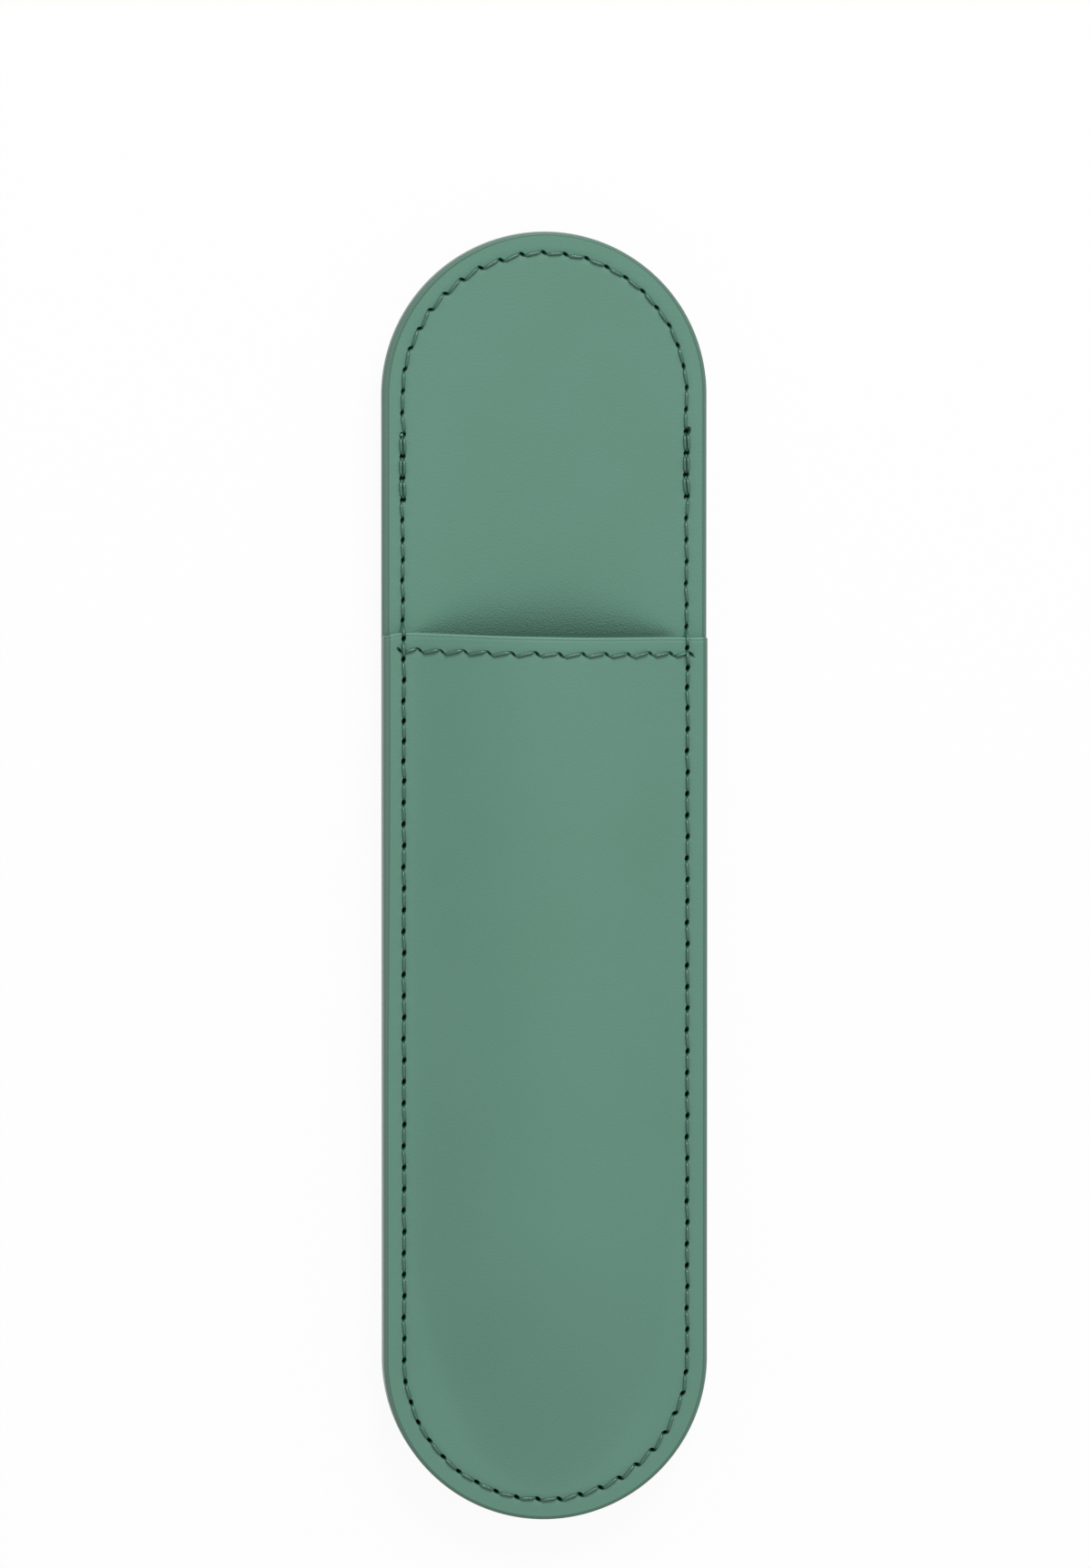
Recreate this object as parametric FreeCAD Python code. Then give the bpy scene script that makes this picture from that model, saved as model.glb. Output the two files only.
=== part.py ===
# Leather sleeve for one pen, lying on its back with the pocket facing up.
# Three round-ended leather panels are sewn together round the edge. Low down the stack is
# moulded apart into a pocket with a straight lip; higher up it stays flat and backs the pen.
# X runs across the sleeve, Y along it towards the upper end, Z up; the table is at Z = 0.
import FreeCAD
import Part
import math
import os

V = FreeCAD.Vector

# Outline of the sleeve, in millimetres
SLEEVE_LENGTH = 159.0
SLEEVE_WIDTH = 40.0
POCKET_HEIGHT = 109.6
EDGE_BEVEL = 0.35

# Leather of each panel
BACK_THICKNESS = 1.2
INNER_THICKNESS = 1.0
FRONT_THICKNESS = 1.4

# Moulded pocket: the back sinks into a basin, the front rises into a crown
SEAM_LAND = 1.0
BASIN_DEPTH = 3.8
BASIN_FLOOR_WIDTH = 12.0
BASIN_END_BELOW_LIP = 8.0
CROWN_SLOPE_DEGREES = 19.0
CROWN_ARCH_WIDTH = 14.0

# Seams
SEAM_INSET = 2.5
STITCH_PITCH = 2.66
STITCH_BELOW_LIP_SHARE = 0.25
THREAD_SIZE = 0.5
STRAND_GAP = 0.06
HOLE_CLEARANCE = 0.06
MOUTH_ROW_BELOW_LIP = 2.1
MOUTH_STRAND_INSET = 2.0
TACK_ABOVE_LIP_SHARE = 0.34
TACK_STITCHES = 3

# One overrun for every cut
CUT_OVERRUN = 1.0

# Places that follow from the sizes above
EDGE_RADIUS = SLEEVE_WIDTH / 2
END_CENTRE_Y = SLEEVE_LENGTH / 2 - EDGE_RADIUS
SEAM_RADIUS = EDGE_RADIUS - SEAM_INSET
POCKET_RADIUS = SEAM_RADIUS - SEAM_LAND
LIP_Y = POCKET_HEIGHT - SLEEVE_LENGTH / 2
BASIN_TOP_CENTRE_Y = LIP_Y - BASIN_END_BELOW_LIP
MOUTH_ROW_Y = LIP_Y - MOUTH_ROW_BELOW_LIP
BACK_Z = BASIN_DEPTH
INNER_Z = BACK_Z + BACK_THICKNESS
FRONT_Z = INNER_Z + INNER_THICKNESS
FRONT_TOP_Z = FRONT_Z + FRONT_THICKNESS
CROWN_SLOPE = math.radians(CROWN_SLOPE_DEGREES)
CROWN_ARCH_REACH = CROWN_ARCH_WIDTH / 2
CROWN_FLANK_RISE = (POCKET_RADIUS - CROWN_ARCH_REACH) * math.tan(CROWN_SLOPE)
CROWN_HEIGHT = CROWN_FLANK_RISE + CROWN_ARCH_REACH * math.tan(CROWN_SLOPE / 2)
CROWN_TOP_Z = FRONT_TOP_Z + CROWN_HEIGHT
LIP_STITCH_REACH = STITCH_PITCH * STITCH_BELOW_LIP_SHARE
TACK_ABOVE_LIP = (SLEEVE_LENGTH - POCKET_HEIGHT) * TACK_ABOVE_LIP_SHARE
TACK_FIRST_HOLE = round(TACK_ABOVE_LIP / STITCH_PITCH)
TACK_LAST_HOLE = TACK_FIRST_HOLE + TACK_STITCHES
THREAD_HALF = THREAD_SIZE / 2
STRAND_OFFSET = THREAD_HALF + STRAND_GAP / 2
HOLE_SIZE = THREAD_SIZE + HOLE_CLEARANCE * 2
TACK_HOLE_WIDTH = HOLE_SIZE + STRAND_OFFSET * 2

# Two unit directions closer than this count as one
DIRECTION_TOLERANCE = 0.0001
UP = V(0, 0, 1)
LENGTHWAYS = V(0, 1, 0)


def level_arc(start, end):
    """Arc in a plane across the sleeve that leaves start level and ends at end."""
    run = end.x - start.x
    rise = end.z - start.z
    reach = math.hypot(run, rise) / 2
    lift = reach * math.tan(math.atan2(abs(rise), abs(run)) / 2)
    middle = start + V(math.copysign(reach, run), 0, math.copysign(lift, rise))
    return Part.Arc(start, middle, end).toShape()


def strip_face(lower_edges, height):
    """Face between a chain of edges and the same chain lifted by height."""
    lower = Part.Wire(Part.__sortEdges__(lower_edges))
    upper = lower.translated(UP * height)
    ends = [vertex.Point for vertex in (lower.OrderedVertexes[0], lower.OrderedVertexes[-1])]
    sides = [Part.makeLine(end, end + UP * height) for end in ends]
    return Part.Face(Part.Wire(Part.__sortEdges__(lower.Edges + upper.Edges + sides)))


def stadium(radius, low_y, high_y, z):
    """Round-ended flat outline between two end centres."""
    low_right = V(radius, low_y, z)
    high_right = V(radius, high_y, z)
    high_left = V(-radius, high_y, z)
    low_left = V(-radius, low_y, z)
    high_end = Part.Arc(high_right, V(0, high_y + radius, z), high_left).toShape()
    low_end = Part.Arc(low_left, V(0, low_y - radius, z), low_right).toShape()
    right = Part.makeLine(low_right, high_right)
    left = Part.makeLine(high_left, low_left)
    return Part.Face(Part.Wire([right, high_end, left, low_end]))


def plate(low_z, thickness):
    """Flat leather with the full outline of the sleeve."""
    return stadium(EDGE_RADIUS, -END_CENTRE_Y, END_CENTRE_Y, low_z).extrude(UP * thickness)


def bevelled(solid, face_z):
    """The plate with the outer edge of one face bevelled."""
    rim = [edge for edge in solid.Edges if abs(edge.CenterOfMass.z - face_z) < EDGE_BEVEL / 2]
    return solid.makeChamfer(EDGE_BEVEL, rim)


def above_lip():
    """Block that takes in everything between the lip and the upper end."""
    corner = V(-EDGE_RADIUS - CUT_OVERRUN, LIP_Y, -CUT_OVERRUN)
    length = SLEEVE_LENGTH - POCKET_HEIGHT + CUT_OVERRUN
    return Part.makeBox(SLEEVE_WIDTH + CUT_OVERRUN * 2, length, CROWN_TOP_Z + CUT_OVERRUN * 2, corner)


def moulded(half_face, high_y, high_end_round):
    """Half section carried along the pocket, mirrored, and turned round the end or ends."""
    base = half_face.translated(V(0, -END_CENTRE_Y, 0))
    straight = base.extrude(V(0, high_y + END_CENTRE_Y, 0))
    pieces = [straight.mirror(V(), V(1, 0, 0)), base.revolve(V(0, -END_CENTRE_Y, 0), UP, -180)]
    if high_end_round:
        pieces.append(half_face.translated(V(0, high_y, 0)).revolve(V(0, high_y, 0), UP, 180))
    return straight.fuse(pieces)


def basin_face(low_z, thickness):
    """Half section of the basin in one of the two rear panels."""
    floor_z = low_z - BASIN_DEPTH
    floor_edge = V(BASIN_FLOOR_WIDTH / 2, 0, floor_z)
    floor = Part.makeLine(V(0, 0, floor_z), floor_edge)
    ramp = Part.makeLine(floor_edge, V(POCKET_RADIUS, 0, low_z))
    return strip_face([floor, ramp], thickness)


def crown_half(side, y, low_z):
    """Half of the crown's line across the sleeve, on the right (1) or left (-1) side."""
    foot = V(POCKET_RADIUS * side, y, low_z)
    shoulder = V(CROWN_ARCH_REACH * side, y, low_z + CROWN_FLANK_RISE)
    crest = V(0, y, low_z + CROWN_HEIGHT)
    return [Part.makeLine(foot, shoulder), level_arc(crest, shoulder)]


def rear_panel(flat, low_z, thickness):
    """Flat panel with the basin moulded into its lower part."""
    hole = stadium(POCKET_RADIUS, -END_CENTRE_Y, BASIN_TOP_CENTRE_Y, low_z).extrude(UP * thickness)
    basin = moulded(basin_face(low_z, thickness), BASIN_TOP_CENTRE_Y, True)
    return flat.cut(hole).fuse(basin).removeSplitter()


def front_panel():
    """Panel cut straight at the lip with the crown moulded into it."""
    flat = bevelled(plate(FRONT_Z, FRONT_THICKNESS), FRONT_TOP_Z).cut(above_lip())
    hole = stadium(POCKET_RADIUS, -END_CENTRE_Y, LIP_Y, FRONT_Z).extrude(UP * FRONT_THICKNESS)
    crown = moulded(strip_face(crown_half(1, 0, FRONT_Z), FRONT_THICKNESS), LIP_Y, False)
    return flat.cut(hole).fuse(crown).removeSplitter()


def edge_holes(end_sign, start_y):
    """Evenly spaced hole centres from one side of the lip round one end to the other side."""
    end_y = END_CENTRE_Y * end_sign
    start = V(SEAM_RADIUS * end_sign, start_y, 0)
    turn_in = V(SEAM_RADIUS * end_sign, end_y, 0)
    turn_out = V(-SEAM_RADIUS * end_sign, end_y, 0)
    finish = V(-SEAM_RADIUS * end_sign, start_y, 0)
    bend = Part.Arc(turn_in, V(0, end_y + SEAM_RADIUS * end_sign, 0), turn_out).toShape()
    path = Part.Wire([Part.makeLine(start, turn_in), bend, Part.makeLine(turn_out, finish)])
    return path.discretize(Number=round(path.Length / STITCH_PITCH) + 1)


def pairs(points):
    """Neighbouring points of a row."""
    return list(zip(points[:-1], points[1:]))


def directions(points):
    """Direction of travel at each point of a row."""
    before = points[:1] + points[:-1]
    after = points[1:] + points[-1:]
    return [(end - start).normalize() for start, end in zip(before, after)]


def turning(points):
    """For each inner point of a row, whether the row changes direction there."""
    steps = [(end - start).normalize() for start, end in pairs(points)]
    return [not before.isEqual(after, DIRECTION_TOLERANCE) for before, after in pairs(steps)]


def hole_cutter(origin, along, up, width, depth):
    """Cutter for one stitch hole, from above the surface to below the given depth."""
    corner = V(-HOLE_SIZE / 2, -width / 2, -depth - CUT_OVERRUN)
    cutter = Part.makeBox(HOLE_SIZE, width, depth + CUT_OVERRUN * 2, corner)
    turn = FreeCAD.Rotation(along, up.cross(along), up, "XZY")
    cutter.Placement = FreeCAD.Placement(origin, turn)
    return cutter


def thread(outline, across):
    """Length of thread with the given side view, one thread wide."""
    points = [point - across * THREAD_HALF for point in outline]
    return Part.Face(Part.makePolygon(points + points[:1])).extrude(across * THREAD_SIZE)


def stitch(start, end, up, end_up, across, lift, depth, last):
    """Stitch that leaves one hole and lies on the leather to the next, with a leg down its own hole."""
    along = across.cross(up)
    end_along = across.cross(end_up)
    near = start - along * THREAD_HALF
    near_inside = start + along * THREAD_HALF
    outline = [near - up * depth, near + up * (lift + THREAD_SIZE)]
    far_inside = end - end_along * (THREAD_HALF + STRAND_GAP)
    far = end + end_along * THREAD_HALF if last else far_inside
    outline += [far + end_up * (lift + THREAD_SIZE)]
    if last:
        far_inside = end - end_along * THREAD_HALF
        outline += [far - end_up * depth, far_inside - end_up * depth]
    outline += [far_inside + end_up * lift, near_inside + up * lift, near_inside - up * depth]
    return thread(outline, across)


def lip_stitch(front, inner, leg_at_front):
    """Stitch that steps over the lip between the front panel and the inner panel."""
    along = (inner - front).normalize()
    edge = front + along * (LIP_STITCH_REACH + HOLE_CLEARANCE)
    edge_outside = edge + along * THREAD_SIZE
    drop = UP * FRONT_THICKNESS
    rise = UP * THREAD_SIZE
    leg = UP * (FRONT_TOP_Z - BACK_Z)
    if leg_at_front:
        front_end = front - along * THREAD_HALF
        front_inside = front + along * THREAD_HALF
        inner_end = inner - along * (THREAD_HALF + STRAND_GAP)
        outline = [front_inside, front_inside - leg, front_end - leg]
        finish = [inner_end - drop]
    else:
        front_end = front + along * (THREAD_HALF + STRAND_GAP)
        inner_end = inner + along * THREAD_HALF
        inner_inside = inner - along * THREAD_HALF
        outline = [front_end]
        finish = [inner_end - leg, inner_inside - leg, inner_inside - drop]
    outline += [front_end + rise, edge_outside + rise, edge_outside + rise - drop]
    outline += [inner_end + rise - drop] + finish + [edge - drop, edge]
    return thread(outline, along.cross(UP))


def edge_stitch(start, end, last):
    """One stitch of an edge seam between two neighbouring holes."""
    start_below = start.y < LIP_Y
    end_below = end.y < LIP_Y
    front = UP * FRONT_TOP_Z
    if start_below and not end_below:
        return lip_stitch(start + front, end + front, True)
    if end_below and not start_below:
        return lip_stitch(end + front, start + front, False)
    surface = front if start_below else UP * FRONT_Z
    across = UP.cross((end - start).normalize())
    return stitch(start + surface, end + surface, UP, UP, across, 0, surface.z - BACK_Z, last)


def in_tack(point):
    """True where the two edge seams run side by side."""
    return any((point - hole).Length < STITCH_PITCH / 2 for hole in tack_holes)


def strand_points(points, outward):
    """Line of a seam through its holes, moved sideways in a tack to lie beside the other seam."""
    moved = []
    for point, way in zip(points, directions(points)):
        moved.append(point + way.cross(UP) * STRAND_OFFSET * outward if in_tack(point) else point)
    return moved


def front_thread(points):
    """All the stitches of an edge seam on the front side."""
    steps = pairs(points)
    return Part.Compound([edge_stitch(start, end, end is points[-1]) for start, end in steps])


def back_thread(points):
    """Thread that runs along the back over the ends of the legs."""
    bends = [point for point, turns in zip(points[1:-1], turning(points)) if turns]
    centres = points[:1] + bends + points[-1:]
    ways = directions(centres)
    centres[0] = centres[0] - ways[0] * STRAND_OFFSET
    centres[-1] = centres[-1] + ways[-1] * STRAND_OFFSET
    sides = [way.cross(UP) * THREAD_HALF for way in ways]
    right = [centre + side for centre, side in zip(centres, sides)]
    left = [centre - side for centre, side in zip(centres, sides)]
    outline = Part.makePolygon(right + left[::-1] + right[:1])
    return Part.Face(outline).extrude(UP * THREAD_SIZE).translated(UP * (BACK_Z - THREAD_SIZE))


# Edge seams: the lower one starts and ends above the lip, where the upper one overlaps it in two tacks
lower_holes = edge_holes(-1, LIP_Y - LIP_STITCH_REACH)
upper_holes = edge_holes(1, LIP_Y - LIP_STITCH_REACH + STITCH_PITCH)
left_lower = upper_holes[-TACK_LAST_HOLE - 1:]
right_lower = upper_holes[:TACK_LAST_HOLE + 1]
upper_run = upper_holes[TACK_FIRST_HOLE:len(upper_holes) - TACK_FIRST_HOLE]
tack_holes = right_lower[TACK_FIRST_HOLE:] + left_lower[:TACK_STITCHES + 1]
lower_seam = strand_points(left_lower + lower_holes + right_lower, 1)
upper_seam = strand_points(upper_run, -1)

edge_cutters = []
edge_loop = lower_holes + upper_holes
for hole, way in zip(edge_loop, directions(edge_loop)):
    hole_width = TACK_HOLE_WIDTH if in_tack(hole) else HOLE_SIZE
    edge_cutters.append(hole_cutter(hole + UP * FRONT_TOP_Z, way, UP, hole_width, FRONT_TOP_Z - BACK_Z))

# Mouth row: one row of stitches across the crown just below the lip
mouth_edges = crown_half(-1, MOUTH_ROW_Y, FRONT_TOP_Z) + crown_half(1, MOUTH_ROW_Y, FRONT_TOP_Z)
mouth_line = Part.Wire(Part.__sortEdges__(mouth_edges))
mouth_holes = mouth_line.discretize(Number=round(mouth_line.Length / STITCH_PITCH) + 1)
mouth_holes.sort(key=lambda point: point.x)
mouth_ways = directions(mouth_holes)
mouth_ups = [way.cross(LENGTHWAYS) for way in mouth_ways]
mouth_cutters = []
for hole, way, out in zip(mouth_holes, mouth_ways, mouth_ups):
    mouth_cutters.append(hole_cutter(hole, way, out, HOLE_SIZE, FRONT_THICKNESS))

mouth_stitches = []
for (start, end), (out, end_out) in zip(pairs(mouth_holes), pairs(mouth_ups)):
    leg = FRONT_THICKNESS * out.z
    is_last = end is mouth_holes[-1]
    mouth_stitches.append(stitch(start, end, out, end_out, LENGTHWAYS, HOLE_CLEARANCE, leg, is_last))

strand_z = FRONT_Z - HOLE_CLEARANCE - THREAD_SIZE
strand_y = MOUTH_ROW_Y - THREAD_HALF
strand_edges = crown_half(-1, strand_y, strand_z) + crown_half(1, strand_y, strand_z)
strand_reach = POCKET_RADIUS - MOUTH_STRAND_INSET
strand_room = Part.makeBox(strand_reach * 2, THREAD_SIZE, CROWN_TOP_Z, V(-strand_reach, strand_y, 0))
mouth_strand = strip_face(strand_edges, THREAD_SIZE).extrude(LENGTHWAYS * THREAD_SIZE).common(strand_room)

# Panels
back_flat = bevelled(plate(BACK_Z, BACK_THICKNESS), BACK_Z)
inner_plain = plate(INNER_Z, INNER_THICKNESS)
inner_upper = bevelled(inner_plain, FRONT_Z).common(above_lip())
inner_flat = inner_plain.cut(above_lip()).fuse(inner_upper)

nodes = {
    "back_panel": rear_panel(back_flat, BACK_Z, BACK_THICKNESS).cut(edge_cutters),
    "inner_panel": rear_panel(inner_flat, INNER_Z, INNER_THICKNESS).cut(edge_cutters),
    "front_panel": front_panel().cut(edge_cutters[:len(lower_holes)] + mouth_cutters),
    "lower_seam_front_thread": front_thread(lower_seam),
    "lower_seam_back_thread": back_thread(lower_seam),
    "upper_seam_front_thread": front_thread(upper_seam),
    "upper_seam_back_thread": back_thread(upper_seam),
    "mouth_row_front_thread": Part.Compound(mouth_stitches),
    "mouth_row_back_thread": mouth_strand,
}

os.makedirs("parts", exist_ok=True)
for name, shape in nodes.items():
    shape.exportStep("parts/" + name + ".step")
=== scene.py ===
import math
from collections import namedtuple

import bmesh
import bpy
from mathutils import Matrix, Vector
from mathutils.kdtree import KDTree


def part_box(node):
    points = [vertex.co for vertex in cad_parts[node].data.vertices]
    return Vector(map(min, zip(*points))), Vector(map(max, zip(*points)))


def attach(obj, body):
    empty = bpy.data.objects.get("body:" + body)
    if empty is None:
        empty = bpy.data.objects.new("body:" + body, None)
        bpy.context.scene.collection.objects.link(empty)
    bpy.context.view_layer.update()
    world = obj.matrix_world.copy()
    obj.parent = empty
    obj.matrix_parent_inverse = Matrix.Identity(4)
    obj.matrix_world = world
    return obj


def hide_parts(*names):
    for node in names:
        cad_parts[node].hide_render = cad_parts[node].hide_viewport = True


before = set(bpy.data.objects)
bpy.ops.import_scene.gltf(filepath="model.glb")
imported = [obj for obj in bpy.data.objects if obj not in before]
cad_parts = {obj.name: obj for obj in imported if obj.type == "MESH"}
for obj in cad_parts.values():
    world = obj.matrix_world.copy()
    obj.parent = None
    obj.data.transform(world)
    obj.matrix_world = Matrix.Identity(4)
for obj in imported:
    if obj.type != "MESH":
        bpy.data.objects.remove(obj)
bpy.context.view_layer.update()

MM = 0.001

# Outline and layers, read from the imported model
BACK_LOW, BACK_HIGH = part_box("back_panel")
INNER_LOW, INNER_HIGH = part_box("inner_panel")
FRONT_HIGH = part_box("front_panel")[1]
EDGE_RADIUS = BACK_HIGH.x
END_CENTRE_Y = BACK_HIGH.y - EDGE_RADIUS
LIP_Y = FRONT_HIGH.y
BACK_THICKNESS = INNER_LOW.z - BACK_LOW.z
INNER_THICKNESS = INNER_HIGH.z - BACK_HIGH.z
FRONT_THICKNESS = 1.4 * MM
BACK_Z = BACK_HIGH.z - BACK_THICKNESS
INNER_Z = BACK_HIGH.z
FRONT_Z = INNER_HIGH.z
FRONT_TOP_Z = FRONT_Z + FRONT_THICKNESS
BASIN_DEPTH = BACK_Z - BACK_LOW.z
CROWN_HEIGHT = FRONT_HIGH.z - FRONT_TOP_Z

# Moulded pocket: a crown in the front, a basin in the back, and a shallow start above the lip
SEAM_INSET = 2.5 * MM
SEAM_LAND = 1.0 * MM
SEAM_RADIUS = EDGE_RADIUS - SEAM_INSET
POCKET_RADIUS = SEAM_RADIUS - SEAM_LAND
BASIN_ROUNDNESS = 2.5
CROWN_ROUNDNESS = 2.0
MOULD_FALL = 1.5
CROWN_END_LENGTH = 34.0 * MM
MOUTH_RISE = 8.5 * MM
MOUTH_RISE_LEAST = 0.6 * MM
MOUTH_SPREAD_LEFT = 3.4
MOUTH_SPREAD_RIGHT = 2.2
MOUTH_SLOPE = 0.4
MOUTH_SOFTNESS = 3.0

# Lip: it runs down a little to the right, its left corner droops, and a fine crease lies below it
LIP_SLOPE_LEFT = -0.018
LIP_SLOPE_RIGHT = -0.033
LIP_DROOP_LEFT = 0.4 * MM
LIP_DROOP_RIGHT = -0.1 * MM
LIP_PULL_REACH = 9.0 * MM
LIP_STRIP = 1.3 * MM
LIP_STRIP_ROWS = 10
LIP_ROUNDING = 0.2 * MM
LIP_CREASE_BELOW = 0.34 * MM
LIP_CREASE_HALF_WIDTH = 0.11 * MM
LIP_CREASE_DEPTH = 0.055 * MM

# Leather: how finely each panel is divided, its rounded edges and the pull of the seam
CENTRE_STEP = 0.9 * MM
SEAM_STEP = 0.34 * MM
FINE_FROM = 14.2 * MM
RIM_STRIP = 0.55 * MM
STEPS_PER_STITCH = 6
LAYER_GAP = 0.02 * MM
RIM_ROUNDING = 0.45 * MM
ROUNDING_SEGMENTS = 4
GROOVE_DEPTH = 0.05 * MM
GROOVE_HALF_WIDTH = 0.4 * MM
DENT_DEPTH = 0.12 * MM
DENT_RADIUS = 0.42 * MM
PULL_LIMIT = 1.6 * MM
SMOOTH_UP_TO = math.radians(38)

# Seams: the usual stitch, the shorter ones on the left next to the lip, the places where the rows
# start on each side, the tacks where the two edge seams overlap, and the row below the lip
STITCH_PITCH = 2.66 * MM
TIGHT_PITCH = 2.47 * MM
TIGHT_BELOW_LIP = 7
LOWER_START_LEFT = LIP_Y - 0.67 * MM
LOWER_START_RIGHT = LIP_Y - 1.27 * MM
UPPER_START_RIGHT = LIP_Y + 0.65 * MM
UPPER_START_LEFT = LIP_Y + 1.75 * MM
TACK_ABOVE_LIP_SHARE = 0.34
TACK_STITCHES = 3
TACK_FIRST = round(TACK_ABOVE_LIP_SHARE * (EDGE_RADIUS + END_CENTRE_Y - LIP_Y) / STITCH_PITCH)
TACK_LAST = TACK_FIRST + TACK_STITCHES
TACK_LOW = STITCH_PITCH * TACK_FIRST
TACK_HIGH = STITCH_PITCH * (TACK_LAST + 1)
STRAND_OFFSET = 0.17 * MM
STRAND_BOW = 0.05 * MM
MOUTH_ROW_Y = LIP_Y - 2.1 * MM
MOUTH_ROW_REACH = 17.95 * MM
MOUTH_STITCHES = 13
SEAM_WOBBLE = 0.05 * MM
WOBBLE_STEP = 2.4

# Two ways of sewing: size of the needle slits, how far from a slit's middle the thread comes out,
# and the thread's radius
Sewing = namedtuple("Sewing", "slit_length slit_width reach radius")
EDGE_SEWING = Sewing(1.06 * MM, 0.6 * MM, 0.29 * MM, 0.2 * MM)
MOUTH_SEWING = Sewing(1.26 * MM, 0.54 * MM, 0.39 * MM, 0.2 * MM)

# Needle slits: their form, and their turn from the line of the seam, which changes with its direction
SLIT_SIDES = 12
SLIT_WAIST_SHARE = 0.004
SLIT_OVERRUN_SHARE = 0.25
SLIT_MERGE_SHARE = 1e-5
# Painted shade: depths below the face over which a slit's walls, and the thread in it, go dark
SLIT_DARK_FROM = 0.14 * MM
SLIT_DARK_TO = 0.3 * MM
SLIT_TURN = math.radians(-23.5)
SLIT_TURN_ACROSS = math.radians(-11.5)
SLIT_TURN_DIAGONAL = math.radians(-26)
MOUTH_SLIT_TURN = math.radians(-46)
TACK_SLIT_SCALE = 0.85
LAST_SLIT_SCALE = 1.3

# Thread: how it lies on the leather and dives into the slits, its mesh, its twist and its melted end
THREAD_SINK_SHARE = 0.3
THREAD_DIVE = 0.9 * MM
THREAD_BEND = 0.58 * MM
BEND_SHARPNESS = 3
THREAD_PINCH = 0.15
PINCH_SHARPNESS = 4
LIP_STITCH_LIFT = 0.62 * MM
CROSSING_LIFT = 0.34 * MM
THREAD_SIDES = 8
THREAD_RINGS = 10
RING_CROWDING = 0.8
THREAD_PLIES = 5
PLY_SPACING = 0.2 * MM
PLY_CREST = 0.5
BEAD_RADIUS = 0.24 * MM
BEAD_RISE = 0.06 * MM
BEAD_FINENESS = 2

# Edge paint: how far it reaches over the leather, in millimetres, and the dark line along it
PAINT_REACH = 0.4
PAINT_SOFTNESS = 0.06
PAINT_EXTRA_LEFT = 0.3
PAINT_EXTRA_FROM_Y = -32 * MM
PAINT_EXTRA_TO_Y = 18 * MM
PAINT_LESS_AT_ENDS = 0.14
PAINT_LINE_WIDTH = 0.16
# Lip band: edge paint, lightened with a painted highlight where its cut edge faces the lamp
LIP_PAINT_AND_HIGHLIGHT_REACH = 0.12
FAR_FROM_LIP = 1

# Colours, as red, green and blue display values out of 255, and the curve from those to light
DISPLAY_FULL = 255
DISPLAY_LIFT = 0.055
DISPLAY_POWER = 2.4
LEATHER_COLOUR = (97, 140, 123)
LEATHER_DEEP_COLOUR = (95, 138, 120)
PAINT_COLOUR = (92, 121, 109)
PAINT_LINE_COLOUR = (70, 106, 90)
# Edge paint of the lip with a painted highlight on it, lighter than the other edges
LIP_PAINT_AND_HIGHLIGHT_COLOUR = (109, 149, 133)
# Painted shade for the inside of the needle slits
SLIT_SHADE_COLOUR = (3, 30, 20)
THREAD_COLOUR = (42, 114, 90)
# Painted shade in the valleys between the thread's plies
THREAD_VALLEY_SHADE_COLOUR = (2, 30, 20)

# Leather surface: clouds in the dye, a grain that opens where the leather dips, and fine specks
CLOUD_SCALE = 55
CLOUD_DETAIL = 3
CLOUD_RANGE = (0.3, 0.7)
GRAIN_SCALE = 5200
GRAIN_SMOOTHNESS = 0.6
GRAIN_STRENGTH = 0.7
GRAIN_GAIN_IN_DIP = 2.6
GRAIN_FULL_AT_SLOPE = 0.6
SPECK_SCALE = 3000
SPECK_DETAIL = 2
SPECK_STRENGTH = 0.5
COAT_STRENGTH = 1.0
RELIEF_DEPTH = 0.03 * MM
LEATHER_ROUGHNESS = (0.5, 0.62)
PAINT_ROUGHNESS = 0.36
LEATHER_SHINE = 0.3

# Thread surface: painted shade in the valleys between the plies, and a fine fuzz
PLY_RANGE = (0.1, 0.95)
PLY_STRENGTH = 1.0
PLY_DEPTH = 0.014 * MM
FUZZ_SCALE = 9000
FUZZ_DETAIL = 2
FUZZ_STRENGTH = 0.2
THREAD_ROUGHNESS = 0.25
THREAD_SHINE = 0.9

# Picture: camera, light and floor
VIEW_FROM_LEFT = math.radians(5.5)
VIEW_FROM_TOP = math.radians(5.5)
CAMERA_DISTANCE = 2.5
PICTURE_HEIGHT = 192.8 * MM
AIM = Vector((0.04 * MM, 11.53 * MM, FRONT_Z))
SENSOR = 36.0
SKY_STRENGTH = 0.52
KEY_POWER = 7.9
KEY_SIZE = 0.5
KEY_PLACE = Vector((0.15, 0.77, 0.77))
FLOOR_SIZE = 6.0
FLOOR_COLOUR = 0.9
FLOOR_GLOW_SHARE = 0.94

# Hole: its place on the face, the seam's direction, the way out of the leather, its depth, and the
# turn and scale of its slit. Stitch: its two ends, the way out, its radius, the swell in its middle
Hole = namedtuple("Hole", "place along up depth turn scale", defaults=(1,))
Stitch = namedtuple("Stitch", "start end up radius swell")
UP = Vector((0, 0, 1))


def soft_step(low, high, value):
    """0 below low, 1 above high and an even curve between."""
    share = min(max((value - low) / (high - low), 0), 1)
    return share * share * (3 - 2 * share)


def hill(value, half_width):
    """1 at zero, falling evenly to nothing a few half widths away."""
    return math.exp(-((value / half_width) ** 2))


def from_spine(x, y):
    """Distance from the sleeve's centre line between its two end centres."""
    return math.hypot(x, y - min(max(y, -END_CENTRE_Y), END_CENTRE_Y))


def mould(distance, roundness):
    """Share of the full depth of a moulded form at a distance from its centre line."""
    share = min(distance / POCKET_RADIUS, 1)
    return (1 - share ** roundness) ** MOULD_FALL


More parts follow.
